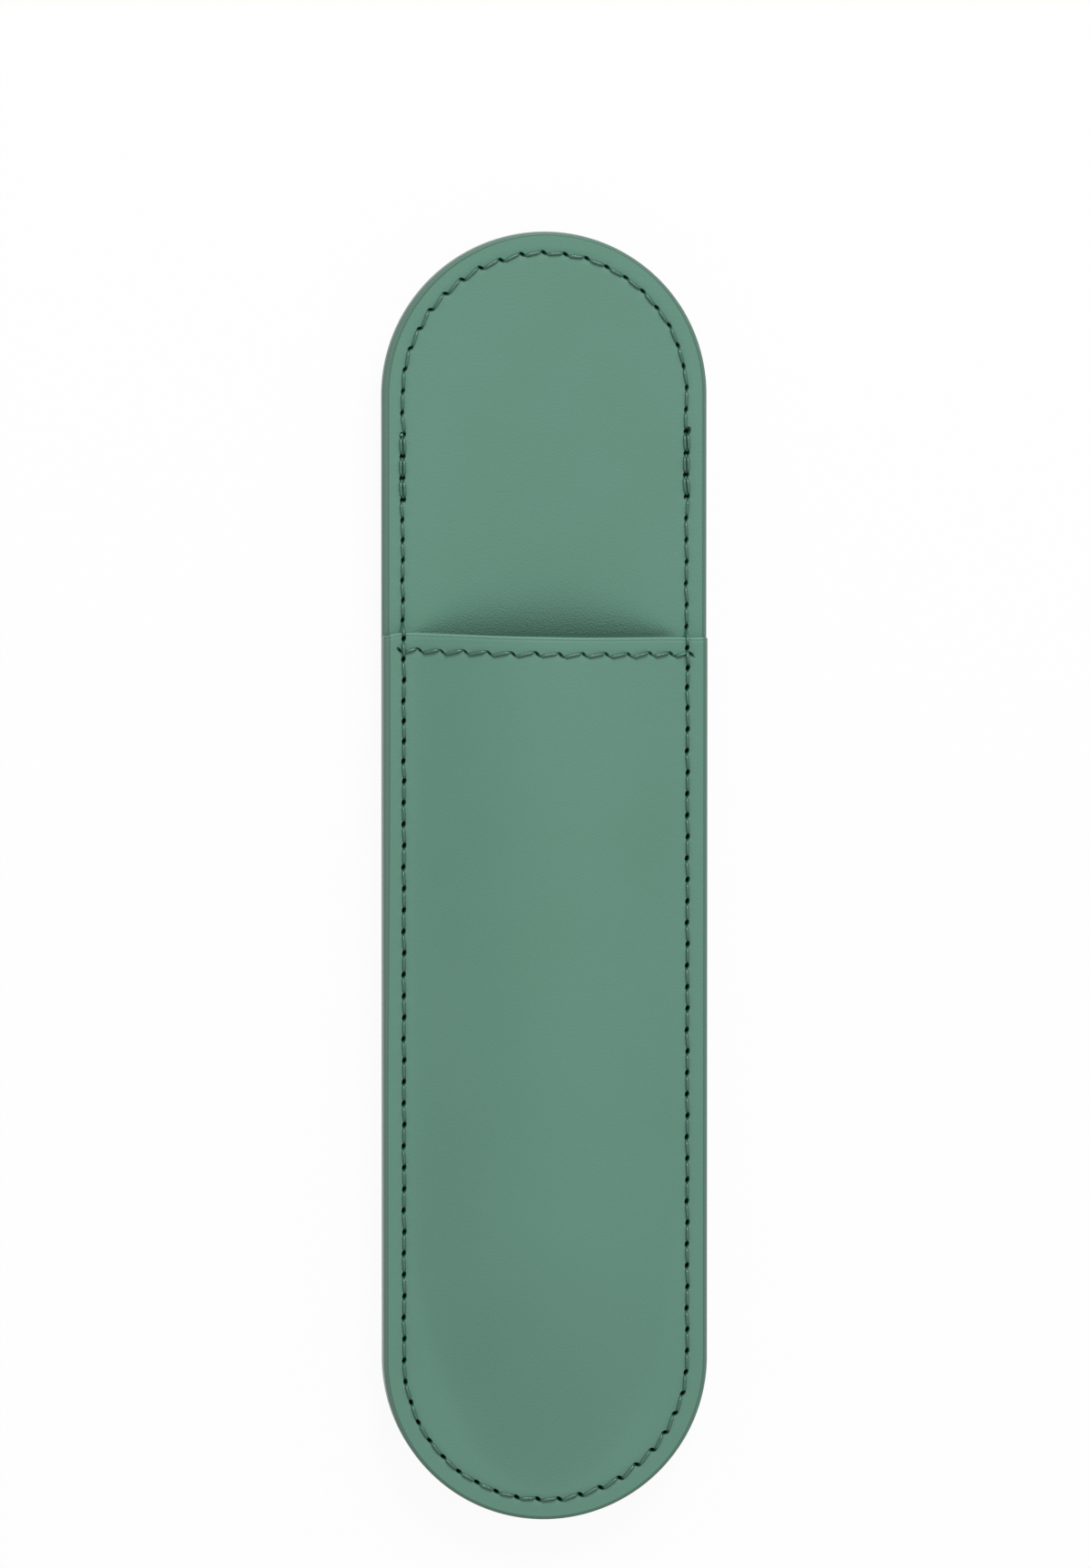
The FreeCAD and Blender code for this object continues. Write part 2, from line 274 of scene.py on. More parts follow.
def crown(x, y):
    """Rise of the front panel over the pocket, with a long gentle lower end."""
    end_start = CROWN_END_LENGTH - POCKET_RADIUS - END_CENTRE_Y
    along = min(y - end_start, 0) * POCKET_RADIUS / CROWN_END_LENGTH
    return CROWN_HEIGHT * mould(math.hypot(x, along), CROWN_ROUNDNESS)


def basin(x, y):
    """Fall of the two rear panels into the pocket, which starts slowly just above the lip."""
    full = BASIN_DEPTH * mould(math.hypot(x, min(y + END_CENTRE_Y, 0)), BASIN_ROUNDNESS)
    spread = MOUTH_SPREAD_LEFT if x < 0 else MOUTH_SPREAD_RIGHT
    height = max(MOUTH_RISE * (1 - (abs(x) / POCKET_RADIUS) ** spread), MOUTH_RISE_LEAST)
    share = max(1 - (y - LIP_Y) / height, 0)
    slack = MOUTH_SLOPE * height / MOUTH_SOFTNESS * share ** MOUTH_SOFTNESS
    return slack * full / math.hypot(slack, full) if full > 0 else 0


def lip_pull(x, y):
    """How far the leather at and just below the lip sits above its straight place."""
    slope, droop = (LIP_SLOPE_LEFT, LIP_DROOP_LEFT) if x < 0 else (LIP_SLOPE_RIGHT, LIP_DROOP_RIGHT)
    corner = droop * soft_step(SEAM_RADIUS, EDGE_RADIUS, abs(x))
    return (slope * x - corner) * soft_step(LIP_Y - LIP_PULL_REACH, LIP_Y, y)


def section_places():
    """Places across half a panel, closer together at the seam."""
    coarse = round(FINE_FROM / CENTRE_STEP)
    fine_width = EDGE_RADIUS - RIM_STRIP - FINE_FROM
    fine = round(fine_width / SEAM_STEP)
    places = [FINE_FROM * step / coarse for step in range(coarse)]
    places += [FINE_FROM + fine_width * step / fine for step in range(fine + 1)]
    return places + [EDGE_RADIUS]


def carried(bm, section, length, steps):
    """Carries a section straight along the sleeve and returns its last place."""
    step = Vector((0, length / steps, 0))
    made = bmesh.ops.spin(bm, geom=section, cent=(0, 0, 0), axis=UP, angle=0, dvec=step, steps=steps)
    return made["geom_last"]


def turned(bm, section, centre_y, angle):
    """Turns a section round the middle of one of the sleeve's ends."""
    steps = round(SEAM_RADIUS * abs(angle) / STITCH_PITCH * STEPS_PER_STITCH)
    bmesh.ops.spin(bm, geom=section, cent=(0, centre_y, 0), axis=UP, angle=angle, steps=steps)


def leather_sheet(with_lip):
    """Flat sheet with the sleeve's outline, cut at the lip or round at both ends, without thickness."""
    bm = bmesh.new()
    verts = [bm.verts.new((x, -END_CENTRE_Y, 0)) for x in section_places()]
    edges = [bm.edges.new(pair) for pair in zip(verts[:-1], verts[1:])]
    section = verts + edges
    turned(bm, section, -END_CENTRE_Y, -math.pi / 2)
    run = END_CENTRE_Y + (LIP_Y - LIP_STRIP if with_lip else END_CENTRE_Y)
    section = carried(bm, section, run, round(run / STITCH_PITCH * STEPS_PER_STITCH))
    if with_lip:
        last_row = LIP_ROUNDING + LAYER_GAP
        section = carried(bm, section, LIP_STRIP - last_row, LIP_STRIP_ROWS)
        carried(bm, section, last_row, 1)
    else:
        turned(bm, section, END_CENTRE_Y, math.pi / 2)
    whole = bm.verts[:] + bm.edges[:] + bm.faces[:]
    bmesh.ops.mirror(bm, geom=whole, merge_dist=LAYER_GAP / 2, axis="X")
    bmesh.ops.remove_doubles(bm, verts=bm.verts[:], dist=LAYER_GAP / 2)
    bmesh.ops.recalc_face_normals(bm, faces=bm.faces[:])
    return bm


def middle(edge):
    """Middle of an edge."""
    return (edge.verts[0].co + edge.verts[1].co) / 2


def round_edges(bm, chosen, width):
    """Rounds the chosen sharp edges of a panel, told by their middles."""
    sharp = [edge for edge in bm.edges if edge.calc_face_angle(0) > SMOOTH_UP_TO]
    bmesh.ops.bevel(
        bm, geom=[edge for edge in sharp if chosen(middle(edge))], offset=width, offset_type="OFFSET",
        affect="EDGES", segments=ROUNDING_SEGMENTS, profile=0.5, material=-1, clamp_overlap=True,
    )


def tree_of(holes):
    """Search tree over the places of holes."""
    tree = KDTree(len(holes))
    for index, hole in enumerate(holes):
        tree.insert(hole.place, index)
    tree.balance()
    return tree


def pull_in(bm, holes, side, seam_distance):
    """Draws the leather in along a seam and at its holes, on the upper (1) or lower (-1) face."""
    tree = tree_of(holes)
    bm.normal_update()
    facing = [vert for vert in bm.verts if vert.normal.z * side > math.cos(SMOOTH_UP_TO)]
    for vert in facing:
        away = seam_distance(vert.co)
        if away < PULL_LIMIT:
            groove = GROOVE_DEPTH * hill(away, GROOVE_HALF_WIDTH)
            dent = DENT_DEPTH * hill(tree.find(vert.co)[2], DENT_RADIUS)
            vert.co.z -= (groove + dent) * side


def from_edge_seam(place):
    """Distance in plan from the line of the edge seams."""
    return abs(from_spine(place.x, place.y) - SEAM_RADIUS)


def from_mouth_row(place):
    """Distance in plan from the line of the mouth row."""
    return math.hypot(place.y - MOUTH_ROW_Y, max(abs(place.x) - MOUTH_ROW_REACH, 0))


def slit_turn(along):
    """Turn of a needle slit from an edge seam that runs in the given direction."""
    heading = math.atan2(along.y, along.x) * 2
    return SLIT_TURN + SLIT_TURN_ACROSS * math.cos(heading) + SLIT_TURN_DIAGONAL * math.sin(heading)


def hole_runs(length, tight):
    """Places of the holes along a seam, whose last stitches (tight of them) are a little shorter."""
    count = math.ceil(length / STITCH_PITCH)
    even = count - tight
    pitch = (length - TIGHT_PITCH * tight) / even
    runs = [pitch * step for step in range(even)]
    return runs + [length - TIGHT_PITCH * step for step in range(tight, -1, -1)]


def edge_holes(end_sign, first_y, last_y, z, tight):
    """Hole centres from one side of the lip round one end to the other, tighter on the left."""
    start = first_y * end_sign
    straight = END_CENTRE_Y - start
    bend = math.pi * SEAM_RADIUS
    length = straight + bend + END_CENTRE_Y - last_y * end_sign
    runs = hole_runs(length, tight)
    # The lower seam starts on the left, and the upper one ends there
    if end_sign < 0:
        runs = [length - run for run in reversed(runs)]
    holes = []
    for step, run in enumerate(runs):
        turn = min(max((run - straight) / SEAM_RADIUS, 0), math.pi)
        rest = max(run - straight - bend, 0)
        out = Vector((math.cos(turn), math.sin(turn), 0))
        along = Vector((-out.y, out.x, 0))
        place = out * (SEAM_RADIUS + SEAM_WOBBLE * math.sin(step * WOBBLE_STEP))
        place.y += min(start + run, END_CENTRE_Y) - rest
        along *= end_sign
        holes.append(Hole(place * end_sign + UP * z, along, UP, z - BACK_Z, slit_turn(along)))
    return holes


def mouth_holes():
    """Hole centres of the row across the front panel just below the lip."""
    holes = []
    for step in range(MOUTH_STITCHES + 1):
        x = MOUTH_ROW_REACH * (step * 2 / MOUTH_STITCHES - 1)
        rise = crown(x + LAYER_GAP, MOUTH_ROW_Y) - crown(x - LAYER_GAP, MOUTH_ROW_Y)
        along = Vector((LAYER_GAP * 2, 0, rise)).normalized()
        up = along.cross(Vector((0, 1, 0)))
        y = MOUTH_ROW_Y + SEAM_WOBBLE * math.sin(step * WOBBLE_STEP)
        under = Vector((x, y, FRONT_Z + crown(x, MOUTH_ROW_Y)))
        holes.append(Hole(under + up * FRONT_THICKNESS, along, up, FRONT_THICKNESS, MOUTH_SLIT_TURN))
    return holes


def pulled(holes):
    """Holes moved with the leather near the lip."""
    moved = []
    for hole in holes:
        lift = Vector((0, lip_pull(hole.place.x, hole.place.y), 0))
        moved.append(hole._replace(place=hole.place + lift))
    return moved


def tack_side(hole, outward):
    """Way to one side of an edge seam in a tack, where the other lies beside it; else nothing."""
    in_tack = TACK_LOW < hole.place.y - LIP_Y < TACK_HIGH
    return hole.along.cross(UP) * (outward if in_tack else 0)


def beside(holes, outward):
    """Holes of one edge seam, smaller and moved sideways in the tacks."""
    moved = []
    for hole in holes:
        side = tack_side(hole, outward) * STRAND_OFFSET
        scale = TACK_SLIT_SCALE if side.length > 0 and hole.scale == 1 else hole.scale
        moved.append(hole._replace(place=hole.place + side, scale=scale))
    return moved


def far_side(holes):
    """The same holes on the other face of the leather that they go through."""
    return [hole._replace(place=hole.place - hole.up * hole.depth, up=-hole.up) for hole in holes]


def slit_way(hole):
    """Direction of the needle slit in the leather at a hole, the same on both faces."""
    outward = hole.up if hole.up.z > 0 else -hole.up
    return Matrix.Rotation(hole.turn, 3, outward) @ hole.along


def frame_at(origin, x_axis, z_axis):
    """Placing matrix from an origin, an X axis and a Z axis."""
    y_axis = z_axis.cross(x_axis)
    turn = Matrix((x_axis, y_axis, z_axis)).transposed().to_4x4()
    return Matrix.Translation(origin) @ turn


def finished(name, bm):
    """Object made from a mesh in the making."""
    mesh = bpy.data.meshes.new(name)
    bm.to_mesh(mesh)
    bm.free()
    piece = bpy.data.objects.new(name, mesh)
    bpy.context.scene.collection.objects.link(piece)
    return piece


def slit_profile():
    """Half outline of a slit of unit size, narrow in its middle and reaching past the leather."""
    reach = 1 / 2 + SLIT_OVERRUN_SHARE
    wide = 1 / 2 + SLIT_OVERRUN_SHARE * (1 - SLIT_WAIST_SHARE)
    return [(0, -reach), (wide, -reach), (SLIT_WAIST_SHARE / 2, 0), (wide, reach), (0, reach)]


def add_slit(bm, place):
    """Adds the solid form of one needle slit, stretched and set in its place by a matrix."""
    before = set(bm.verts)
    verts = [bm.verts.new((x, 0, z)) for x, z in slit_profile()]
    edges = [bm.edges.new(pair) for pair in zip(verts[:-1], verts[1:])]
    outline = verts + edges
    bmesh.ops.spin(
        bm, geom=outline, cent=(0, 0, 0), axis=UP, angle=math.tau, steps=SLIT_SIDES, use_merge=True
    )
    made = [vert for vert in bm.verts if vert not in before]
    bmesh.ops.remove_doubles(bm, verts=made, dist=SLIT_MERGE_SHARE)
    made = [vert for vert in bm.verts if vert not in before]
    bmesh.ops.transform(bm, matrix=place, verts=made)


def slit_cutter(holes, sewing):
    """Object that cuts a row of needle slits."""
    bm = bmesh.new()
    for hole in holes:
        centre = hole.place - hole.up * (hole.depth / 2)
        size = (sewing.slit_length * hole.scale, sewing.slit_width * hole.scale, hole.depth)
        stretch = Matrix.Diagonal(size).to_4x4()
        add_slit(bm, frame_at(centre, slit_way(hole), hole.up) @ stretch)
    bmesh.ops.recalc_face_normals(bm, faces=bm.faces[:])
    return finished("slit_cutter", bm)


def cut_slits(piece, cutters):
    """Cuts the needle slits through a panel for good."""
    for cutter in cutters:
        modifier = piece.modifiers.new("needle_slits", "BOOLEAN")
        modifier.operation = "DIFFERENCE"
        modifier.solver = "MANIFOLD"
        modifier.object = cutter
    evaluated = piece.evaluated_get(bpy.context.evaluated_depsgraph_get())
    whole = piece.data
    piece.data = bpy.data.meshes.new_from_object(evaluated)
    piece.modifiers.clear()
    bpy.data.meshes.remove(whole)


def mark(piece, name, value_at):
    """Stores a value for each vertex of a piece, from its place, for the material to read."""
    layer = piece.data.attributes.new(name, "FLOAT", "POINT")
    layer.data.foreach_set("value", [value_at(vert.co) for vert in piece.data.vertices])


def rim_distance(place):
    """Distance from the outer edge in millimetres, less where the paint is wider, more at the ends."""
    leftness = soft_step(0, EDGE_RADIUS, -place.x)
    leftness *= soft_step(PAINT_EXTRA_FROM_Y, PAINT_EXTRA_TO_Y, place.y)
    endness = soft_step(END_CENTRE_Y, END_CENTRE_Y + EDGE_RADIUS, abs(place.y))
    inside = (EDGE_RADIUS - from_spine(place.x, place.y)) / MM
    return inside - PAINT_EXTRA_LEFT * leftness + PAINT_LESS_AT_ENDS * endness


def dip_slope(place):
    """How steeply the leather falls towards the lip at a place, from 0 to 1."""
    fall = basin(place.x, place.y - LAYER_GAP) - basin(place.x, place.y + LAYER_GAP)
    return min(max(fall / (LAYER_GAP * 2 * MOUTH_SLOPE), 0), 1) if place.y > LIP_Y else 0


def lip_distance(place):
    """Distance below the lip in millimetres."""
    return (LIP_Y + lip_pull(place.x, LIP_Y) - place.y) / MM


def slit_depth(holes):
    """Function that tells how deep in a needle slit a place is, from 0 to 1; the material paints shade
    in the slit by it.
    """
    tree = tree_of(holes)
    reach = EDGE_SEWING.slit_length / 2 * LAST_SLIT_SCALE

    def depth_at(place):
        hole = holes[tree.find(place)[1]]
        below = hole.up.dot(hole.place - place)
        away = (place - hole.place + hole.up * below).length
        return soft_step(SLIT_DARK_FROM, SLIT_DARK_TO, below) if away < reach else 0

    return depth_at


def dress(piece, material, node, slot):
    """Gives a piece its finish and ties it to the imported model."""
    piece.data.materials.clear()
    piece.data.materials.append(material)
    piece.data.shade_smooth()
    # The tight bends of the thread stay smooth
    if slot != "thread":
        piece.data.set_sharp_from_angle(angle=SMOOTH_UP_TO)
    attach(piece, "root")
    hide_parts(node)


def front_leather(seam, row, cutters, material):
    """Front panel with its crown, its lip, and the slits of the edge seam and the mouth row."""
    bm = leather_sheet(True)
    for vert in bm.verts:
        vert.co.z = FRONT_Z + LAYER_GAP + crown(vert.co.x, vert.co.y)
    bmesh.ops.solidify(bm, geom=bm.faces[:], thickness=-FRONT_THICKNESS)
    bmesh.ops.recalc_face_normals(bm, faces=bm.faces[:])
    bm.normal_update()
    at_lip = LIP_Y - LAYER_GAP

    def upper_rim(place):
        return place.y < at_lip and place.z > FRONT_Z + FRONT_THICKNESS / 2 + crown(place.x, place.y)

    round_edges(bm, upper_rim, RIM_ROUNDING)
    round_edges(bm, lambda place: place.y > at_lip, LIP_ROUNDING)
    pull_in(bm, seam, 1, from_edge_seam)
    pull_in(bm, row, 1, from_mouth_row)
    for vert in bm.verts:
        if vert.normal.z > 0:
            below = LIP_Y - vert.co.y - LIP_CREASE_BELOW
            vert.co.z -= LIP_CREASE_DEPTH * hill(below, LIP_CREASE_HALF_WIDTH)
        vert.co.y += lip_pull(vert.co.x, vert.co.y)
    piece = finished("front_leather", bm)
    cut_slits(piece, cutters)
    mark(piece, "rim", rim_distance)
    mark(piece, "lip", lip_distance)
    mark(piece, "slit", slit_depth(pulled(seam + row)))
    dress(piece, material, "front_panel", "outer_leather")


def rear_leather(name, thickness, side, seam, cutters):
    """Inner (side 1) or back (side -1) panel with the basin of the pocket."""
    bm = leather_sheet(False)
    for vert in bm.verts:
        vert.co.z = INNER_Z - basin(vert.co.x, vert.co.y)
    bmesh.ops.solidify(bm, geom=bm.faces[:], thickness=-thickness * side)
    bmesh.ops.recalc_face_normals(bm, faces=bm.faces[:])
    bm.normal_update()
    # The front panel lies on the inner panel's rim below the lip, so that part stays square
    lowest = LIP_Y - STITCH_PITCH if side > 0 else -END_CENTRE_Y * 2

    def shown_rim(place):
        return (place.z - INNER_Z) * side > thickness / 2 and place.y > lowest

    round_edges(bm, shown_rim, RIM_ROUNDING)
    pull_in(bm, seam, side, from_edge_seam)
    piece = finished(name, bm)
    cut_slits(piece, cutters)
    mark(piece, "rim", rim_distance)
    mark(piece, "lip", lambda place: FAR_FROM_LIP)
    mark(piece, "slit", slit_depth(seam))
    mark(piece, "dip", dip_slope)
    return piece


def thread_rod():
    """Straight round thread along X from 0 to 1, with a radius of 1."""
    bm = bmesh.new()
    facing = Matrix.Rotation(math.pi / 2, 4, "Y")
    bmesh.ops.create_circle(bm, cap_ends=False, segments=THREAD_SIDES, radius=1, matrix=facing)
    ring = bm.verts[:] + bm.edges[:]
    step = Vector((1 / THREAD_RINGS, 0, 0))
    bmesh.ops.spin(bm, geom=ring, cent=(0, 0, 0), axis=(1, 0, 0), angle=0, dvec=step, steps=THREAD_RINGS)
    bmesh.ops.holes_fill(bm, edges=[edge for edge in bm.edges if edge.is_boundary], sides=0)
    bmesh.ops.recalc_face_normals(bm, faces=bm.faces[:])
    rod = bpy.data.meshes.new("thread_rod")
    bm.to_mesh(rod)
    bm.free()
    return rod


def crowded(share):
    """Share of a stitch's run at one of its rings, which are closer together at its ends."""
    return share - RING_CROWDING * math.sin(math.tau * share) / math.tau


def stitch_centre(stitch, run):
    """Centre of the thread of one stitch: out of one slit, along the leather, into the next."""
    near_end = min(run, 1 - run) * (stitch.end - stitch.start).length / THREAD_BEND
    fall = max(1 - near_end, 0) ** BEND_SHARPNESS
    place = stitch.start.lerp(stitch.end, run) + stitch.swell * math.sin(math.pi * run)
    above = stitch.radius * (1 - THREAD_SINK_SHARE)
    return place + stitch.up * (above - fall * (above + THREAD_DIVE))


def lay_stitch(bm, rod, stitch):
    """Bends one length of thread into a stitch between two places on the leather."""
    before = len(bm.verts)
    bm.from_mesh(rod)
    bm.verts.ensure_lookup_table()
    ply = bm.verts.layers.float["ply"]
    sunk_shade = bm.verts.layers.float["sunk_shade"]
    chord = stitch.end - stitch.start
    across = stitch.up.cross(chord).normalized()
    half_ring = 1 / THREAD_RINGS / 2
    for vert in bm.verts[before:]:
        share = min(max(vert.co.x, 0), 1)
        run = crowded(share)
        behind = stitch_centre(stitch, crowded(max(share - half_ring, 0)))
        ahead = stitch_centre(stitch, crowded(min(share + half_ring, 1)))
        outward = (ahead - behind).normalized().cross(across)
        turn = math.atan2(vert.co.y, vert.co.z) / math.tau
        vert[ply] = run * chord.length / PLY_SPACING - turn * THREAD_PLIES
        radius = stitch.radius * (1 - THREAD_PINCH * (run * 2 - 1) ** PINCH_SHARPNESS)
        centre = stitch_centre(stitch, run)
        vert.co = centre + (across * vert.co.y + outward * vert.co.z) * radius
        # Painted shade: thread lying below the leather's face is darkened like the slit around it
        depth = stitch.up.dot(stitch.start.lerp(stitch.end, run) - vert.co)
        vert[sunk_shade] = soft_step(SLIT_DARK_FROM, SLIT_DARK_TO, depth)


def melted_end(bm, hole):
    """Bead of melted thread that closes a hole at the end of a seam."""
    place = Matrix.Translation(hole.place + hole.up * BEAD_RISE)
    made = bmesh.ops.create_icosphere(bm, subdivisions=BEAD_FINENESS, radius=BEAD_RADIUS, matrix=place)
    ply = bm.verts.layers.float["ply"]
    for vert in made["verts"]:
        vert[ply] = PLY_CREST


def flat(hole, following):
    """Swell of a stitch that lies straight on the leather."""
    return Vector()


def outer_swell(hole, following):
    """Swell of a lower edge stitch: outwards in a tack, up over the lip or the end of the mouth row."""
    side = (tack_side(hole, 1) + tack_side(following, 1)) / 2
    if abs(hole.place.z - following.place.z) > FRONT_THICKNESS / 2:
        return UP * LIP_STITCH_LIFT
    crosses = (hole.place.y - MOUTH_ROW_Y) * (following.place.y - MOUTH_ROW_Y) < 0
    return side * STRAND_BOW + UP * (CROSSING_LIFT if crosses else 0)


def inner_swell(hole, following):
    """Swell of an upper edge stitch: inwards in a tack."""
    side = (tack_side(hole, -1) + tack_side(following, -1)) / 2
    return side * STRAND_BOW


def stitches(node, holes, rod, sewing, swell_at, material, beads=()):
    """Thread of a whole row of stitches, with a bead of melted thread in some of its holes."""
    bm = bmesh.new()
    for layer in ("ply", "sunk_shade"):
        bm.verts.layers.float.new(layer)
    for hole, following in zip(holes[:-1], holes[1:]):
        start = hole.place + slit_way(hole) * sewing.reach
        end = following.place - slit_way(following) * sewing.reach
        up = (hole.up + following.up).normalized()
        lay_stitch(bm, rod, Stitch(start, end, up, sewing.radius, swell_at(hole, following)))
    for hole in beads:
        melted_end(bm, hole)
    piece = finished(node.replace("_thread", "_stitches"), bm)
    dress(piece, material, node, "thread")


def colour(rgb):
    """Colour from its display values, as the shaders take it."""
    lifted = [(value / DISPLAY_FULL + DISPLAY_LIFT) / (1 + DISPLAY_LIFT) for value in rgb]
    return (*[value ** DISPLAY_POWER for value in lifted], 1)


class Finish:
    """Node tree of a material or a world in the making."""

    def __init__(self, owner):
        owner.use_nodes = True
        self.owner = owner
        self.tree = owner.node_tree

    def node(self, kind, **settings):
        """New node with the given settings."""
        made = self.tree.nodes.new(kind)
        for name, value in settings.items():
            setattr(made, name, value)
        return made

    def feed(self, target, **values):
        """Sets or links inputs of a node; an underscore stands for a space."""
        for name, value in values.items():
            self.join(value, target.inputs[name.replace("_", " ")])
        return target

    def join(self, value, socket):
        """Links an input to another node's output, or sets it."""
        if isinstance(value, bpy.types.NodeSocket):
            self.tree.links.new(value, socket)
        else:
            socket.default_value = value

    def noise(self, scale, detail):
        """Noise over the piece's own place in the model."""
        place = self.node("ShaderNodeTexCoord").outputs["Object"]
        made = self.feed(self.node("ShaderNodeTexNoise"), Vector=place, Scale=scale, Detail=detail)
        return made.outputs["Fac"]

    def cells(self, scale, smoothness):
        """Rounded cells over the piece's own place in the model."""
        place = self.node("ShaderNodeTexCoord").outputs["Object"]
        made = self.node("ShaderNodeTexVoronoi", feature="SMOOTH_F1")
        self.feed(made, Vector=place, Scale=scale, Smoothness=smoothness)
        return made.outputs["Distance"]

    def math(self, operation, *values):
        """Result of one step of arithmetic."""
        made = self.node("ShaderNodeMath", operation=operation)
        for value, socket in zip(values, made.inputs):
            self.join(value, socket)
        return made.outputs[0]

    def blend(self, share, low, high):
        """Mix of two colours, whose sockets come after those for plain numbers and vectors."""
        made = self.node("ShaderNodeMix", data_type="RGBA")
        sockets = (made.inputs[0], made.inputs[6], made.inputs[7])
        for value, socket in zip((share, low, high), sockets):
            self.join(value, socket)
        return made.outputs[2]

    def mixed(self, share, first, second):
        """Mix of two shaders."""
        made = self.node("ShaderNodeMixShader")
        for value, socket in zip((share, first, second), made.inputs):
            self.join(value, socket)
        return made.outputs[0]

    def ranged(self, value, from_low, from_high, low, high):
        """A value carried from one range to another with an even curve."""
        made = self.node("ShaderNodeMapRange", interpolation_type="SMOOTHSTEP")
        self.feed(made, Value=value, From_Min=from_low, From_Max=from_high, To_Min=low, To_Max=high)
        return made.outputs["Result"]

    def marked(self, name):
        """A value stored on the piece."""
        return self.node("ShaderNodeAttribute", attribute_name=name).outputs["Fac"]

    def bump(self, height, strength, depth, normal=None):
        """Surface relief from a height, on top of another relief if one is given."""
        made = self.feed(self.node("ShaderNodeBump"), Height=height, Strength=strength, Distance=depth)
        if normal:
            self.feed(made, Normal=normal)
        return made.outputs["Normal"]


def new_material(name):
    """New material, and the shader that it starts with."""
    finish = Finish(bpy.data.materials.new(name))
    return finish, finish.tree.nodes["Principled BSDF"]


def leather_finish():
    """Smooth dyed leather with a fine grain and edge paint, a painted highlight on the lip's edge, and
    painted shade inside the needle slits.
    """
    finish, shader = new_material("green_leather")
    clouds = finish.ranged(finish.noise(CLOUD_SCALE, CLOUD_DETAIL), *CLOUD_RANGE, 0, 1)
    tone = finish.blend(clouds, colour(LEATHER_DEEP_COLOUR), colour(LEATHER_COLOUR))
    rim = finish.marked("rim")
    paint = finish.ranged(rim, PAINT_REACH - PAINT_SOFTNESS, PAINT_REACH + PAINT_SOFTNESS, 1, 0)
    from_line = finish.math("ABSOLUTE", finish.math("SUBTRACT", rim, PAINT_REACH + PAINT_SOFTNESS))
    line = finish.ranged(from_line, 0, PAINT_LINE_WIDTH, 1, 0)
    lip_low = LIP_PAINT_AND_HIGHLIGHT_REACH - PAINT_SOFTNESS
    lip = finish.ranged(finish.marked("lip"), lip_low, LIP_PAINT_AND_HIGHLIGHT_REACH + PAINT_SOFTNESS, 1, 0)
    # The lip's painted edge: paint plus a painted highlight
    tone = finish.blend(lip, tone, colour(LIP_PAINT_AND_HIGHLIGHT_COLOUR))
    tone = finish.blend(line, tone, colour(PAINT_LINE_COLOUR))
    tone = finish.blend(paint, tone, colour(PAINT_COLOUR))
    # Painted shade inside the needle slits, darker with depth
    tone = finish.blend(finish.marked("slit"), tone, colour(SLIT_SHADE_COLOUR))
    specks = finish.noise(SPECK_SCALE, SPECK_DETAIL)
    cells = finish.cells(GRAIN_SCALE, GRAIN_SMOOTHNESS)
    gain = finish.ranged(finish.marked("dip"), 0, GRAIN_FULL_AT_SLOPE, 1, GRAIN_GAIN_IN_DIP)
    grain = finish.bump(finish.math("MULTIPLY", cells, gain), GRAIN_STRENGTH, RELIEF_DEPTH)
    fine = finish.bump(specks, SPECK_STRENGTH, RELIEF_DEPTH, grain)
    coat = finish.bump(paint, COAT_STRENGTH, RELIEF_DEPTH, fine)
    bare = finish.ranged(specks, 0, 1, *LEATHER_ROUGHNESS)
    rough = finish.ranged(paint, 0, 1, bare, PAINT_ROUGHNESS)
    finish.feed(shader, Base_Color=tone, Roughness=rough, Normal=coat, Specular_IOR_Level=LEATHER_SHINE)
    return finish.owner


def thread_finish():
    """Bonded sewing thread with its twisted plies, painted shade in the valleys between them and where
    it sinks into a slit.
    """
    finish, shader = new_material("green_thread")
    across = finish.math("MULTIPLY", finish.marked("ply"), math.pi)
    wave = finish.math("ABSOLUTE", finish.math("SINE", across))
    crest = finish.ranged(wave, *PLY_RANGE, 0, 1)
    # Painted shade darkens the valleys between the plies
    tone = finish.blend(crest, colour(THREAD_VALLEY_SHADE_COLOUR), colour(THREAD_COLOUR))
    # Painted shade on the thread where it sinks into a slit
    tone = finish.blend(finish.marked("sunk_shade"), tone, colour(SLIT_SHADE_COLOUR))
    twist = finish.bump(wave, PLY_STRENGTH, PLY_DEPTH)
    fuzz = finish.bump(finish.noise(FUZZ_SCALE, FUZZ_DETAIL), FUZZ_STRENGTH, RELIEF_DEPTH, twist)
    finish.feed(
        shader, Base_Color=tone, Roughness=THREAD_ROUGHNESS, Normal=fuzz, Specular_IOR_Level=THREAD_SHINE
    )
    return finish.owner


def seen_directly(finish):
    """1 for rays that show the background itself: straight to the camera, mirrored or through glass."""
    rays = finish.node("ShaderNodeLightPath")
    mirrored = finish.math("MAXIMUM", rays.outputs["Is Camera Ray"], rays.outputs["Is Glossy Ray"])
    return finish.math("MAXIMUM", mirrored, rays.outputs["Is Transmission Ray"])


def sky():
    """Even pale sky all round."""
    world = bpy.data.worlds.new("studio")
    bpy.context.scene.world = world
    finish = Finish(world)
    strength = finish.ranged(seen_directly(finish), 0, 1, SKY_STRENGTH, 1)
    finish.feed(finish.tree.nodes["Background"], Color=(1, 1, 1, 1), Strength=strength)


def key_lamp():
    """One soft lamp above the upper end of the sleeve."""
    key = bpy.data.lights.new("key", "AREA")
    key.energy = KEY_POWER
    key.size = KEY_SIZE
    lamp = bpy.data.objects.new("key", key)
    lamp.location = KEY_PLACE
    lamp.rotation_euler = KEY_PLACE.to_track_quat("Z", "Y").to_euler()
    bpy.context.scene.collection.objects.link(lamp)


